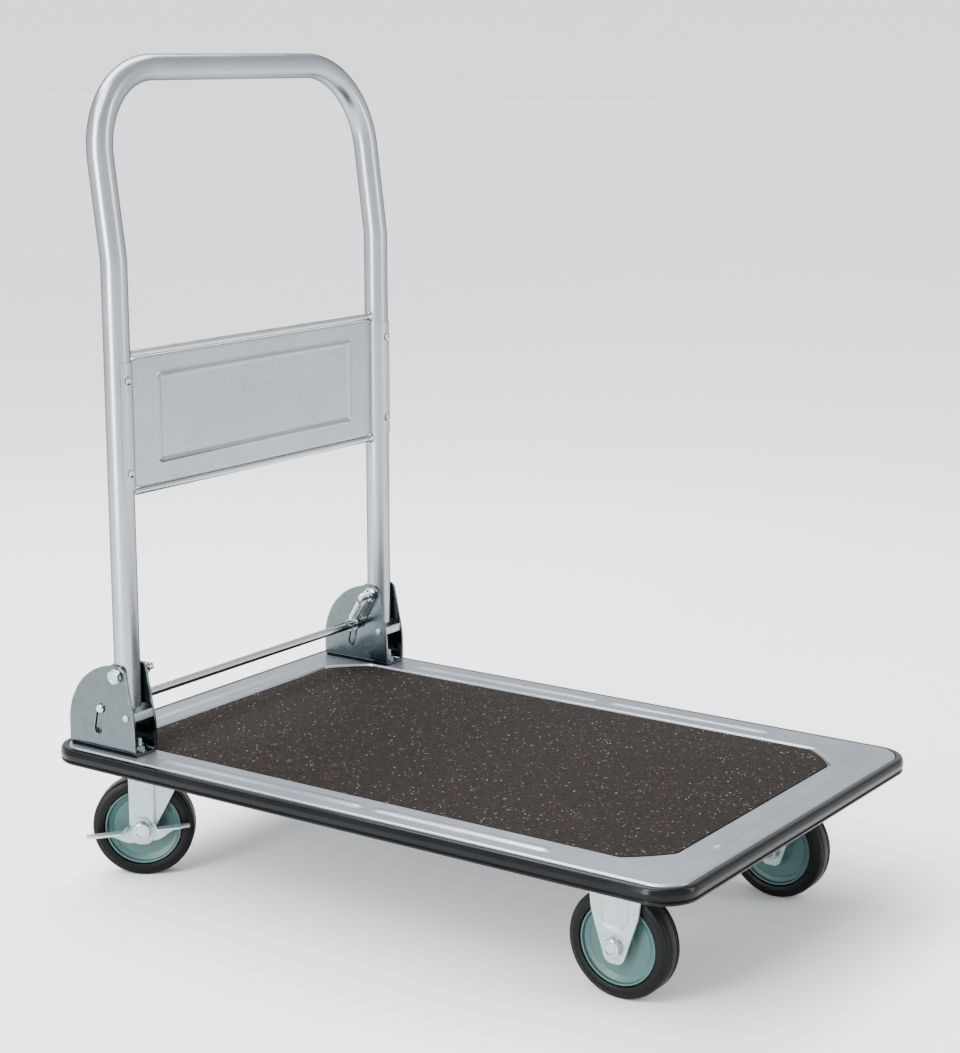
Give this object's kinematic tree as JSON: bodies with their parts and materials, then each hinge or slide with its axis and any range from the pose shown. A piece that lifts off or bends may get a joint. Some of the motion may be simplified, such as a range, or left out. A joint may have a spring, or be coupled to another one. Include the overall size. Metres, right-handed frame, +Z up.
{
  "type": "folding platform cart",
  "caption": "Folding platform cart: pressed steel deck with a grit mat and edge bumper, a tubular handle that folds flat, two fixed and two swivel castors.",
  "frame": {"origin": "on the floor, under the middle of the deck", "axes": "+X along the deck towards its free end, away from the handle; +Y across the deck; +Z up"},
  "size_m": [0.72, 0.47, 0.8129],
  "materials": {
    "deck_paint": "silver-grey hammertone paint, satin",
    "tube_paint": "silver paint, semi-gloss",
    "bracket_zinc": "zinc plate, blue-grey",
    "bright_zinc": "bright zinc plate",
    "castor_zinc": "pale zinc plate",
    "bumper_vinyl": "black vinyl, satin",
    "tyre_rubber": "black rubber, satin",
    "hub_plastic": "grey-green moulded plastic",
    "grit_mat": "dark brown non-slip sheet with pale grit"
  },
  "bodies": {
    "chassis": {"deck_plate": "deck_paint", "deck_mat": "grit_mat", "edge_bumper": "bumper_vinyl", "rear_channel": "deck_paint", "front_channel": "deck_paint", "bracket_left": "bracket_zinc", "pivot_bolt_left": "bright_zinc", "pivot_nut_left": "bright_zinc", "lock_spring_left": "bright_zinc", "fixed_fork_left": "castor_zinc", "axle_bolt_front_left": "bright_zinc", "axle_nut_front_left": "bright_zinc", "swivel_plate_left": "castor_zinc", "swivel_race_left": "castor_zinc", "kingpin_left": "bright_zinc", "anchor_bolt_front_left": "bright_zinc", "anchor_nut_front_left": "bright_zinc", "anchor_bolt_rear_left": "bright_zinc", "anchor_nut_rear_left": "bright_zinc", "bracket_right": "bracket_zinc", "pivot_bolt_right": "bright_zinc", "pivot_nut_right": "bright_zinc", "lock_spring_right": "bright_zinc", "fixed_fork_right": "castor_zinc", "axle_bolt_front_right": "bright_zinc", "axle_nut_front_right": "bright_zinc", "swivel_plate_right": "castor_zinc", "swivel_race_right": "castor_zinc", "kingpin_right": "bright_zinc", "anchor_bolt_front_right": "bright_zinc", "anchor_nut_front_right": "bright_zinc", "anchor_bolt_rear_right": "bright_zinc", "anchor_nut_rear_right": "bright_zinc"},
    "handle": {"handle_tube": "tube_paint", "handle_panel": "deck_paint", "upper_cross_rod": "bright_zinc", "lower_cross_rod": "bright_zinc", "panel_screw_upper_left": "bright_zinc", "panel_screw_upper_right": "bright_zinc", "panel_screw_lower_left": "bright_zinc", "panel_screw_lower_right": "bright_zinc"},
    "lock": {"lock_bar": "bright_zinc"},
    "swivel_left": {"swivel_fork_left": "castor_zinc", "axle_bolt_rear_left": "bright_zinc", "axle_nut_rear_left": "bright_zinc"},
    "rear_wheel_left": {"tyre_rear_left": "tyre_rubber", "hub_rear_left": "hub_plastic"},
    "brake_left": {"brake_lever_left": "castor_zinc"},
    "front_wheel_left": {"tyre_front_left": "tyre_rubber", "hub_front_left": "hub_plastic"},
    "swivel_right": {"swivel_fork_right": "castor_zinc", "axle_bolt_rear_right": "bright_zinc", "axle_nut_rear_right": "bright_zinc"},
    "rear_wheel_right": {"tyre_rear_right": "tyre_rubber", "hub_rear_right": "hub_plastic"},
    "brake_right": {"brake_lever_right": "castor_zinc"},
    "front_wheel_right": {"tyre_front_right": "tyre_rubber", "hub_front_right": "hub_plastic"}
  },
  "joints": [
    {"name": "handle_fold", "type": "hinge", "parent": "chassis", "child": "handle", "pos_m": [-0.2755, 0, 0.2223], "axis": [0, 1, 0], "range_deg": [0, 98]},
    {"name": "lock_press", "type": "slide", "parent": "chassis", "child": "lock", "axis": [-0.1994, 0, -0.9799], "range_m": [0, 0.022], "stiffness_N_per_m": 600, "springref_m": -0.012, "deforming": ["lock_spring_left", "lock_spring_right"]},
    {"name": "swivel_turn_left", "type": "hinge", "parent": "chassis", "child": "swivel_left", "pos_m": [-0.281, -0.148, 0.1], "axis": [0, 0, 1], "continuous": true},
    {"name": "rear_wheel_spin_left", "type": "hinge", "parent": "swivel_left", "child": "rear_wheel_left", "pos_m": [-0.29915, -0.16043, 0.051], "axis": [-0.565, 0.8251, 0], "continuous": true},
    {"name": "brake_press_left", "type": "hinge", "parent": "swivel_left", "child": "brake_left", "pos_m": [-0.29915, -0.16043, 0.051], "axis": [-0.565, 0.8251, 0], "range_deg": [0, 14]},
    {"name": "front_wheel_spin_left", "type": "hinge", "parent": "chassis", "child": "front_wheel_left", "pos_m": [0.2575, -0.148, 0.051], "axis": [0, 1, 0], "continuous": true},
    {"name": "swivel_turn_right", "type": "hinge", "parent": "chassis", "child": "swivel_right", "pos_m": [-0.281, 0.148, 0.1], "axis": [0, 0, 1], "continuous": true},
    {"name": "rear_wheel_spin_right", "type": "hinge", "parent": "swivel_right", "child": "rear_wheel_right", "pos_m": [-0.29915, 0.13557, 0.051], "axis": [-0.565, 0.8251, 0], "continuous": true},
    {"name": "brake_press_right", "type": "hinge", "parent": "swivel_right", "child": "brake_right", "pos_m": [-0.29915, 0.13557, 0.051], "axis": [-0.565, 0.8251, 0], "range_deg": [0, 14]},
    {"name": "front_wheel_spin_right", "type": "hinge", "parent": "chassis", "child": "front_wheel_right", "pos_m": [0.2575, 0.148, 0.051], "axis": [0, 1, 0], "continuous": true}
  ]
}
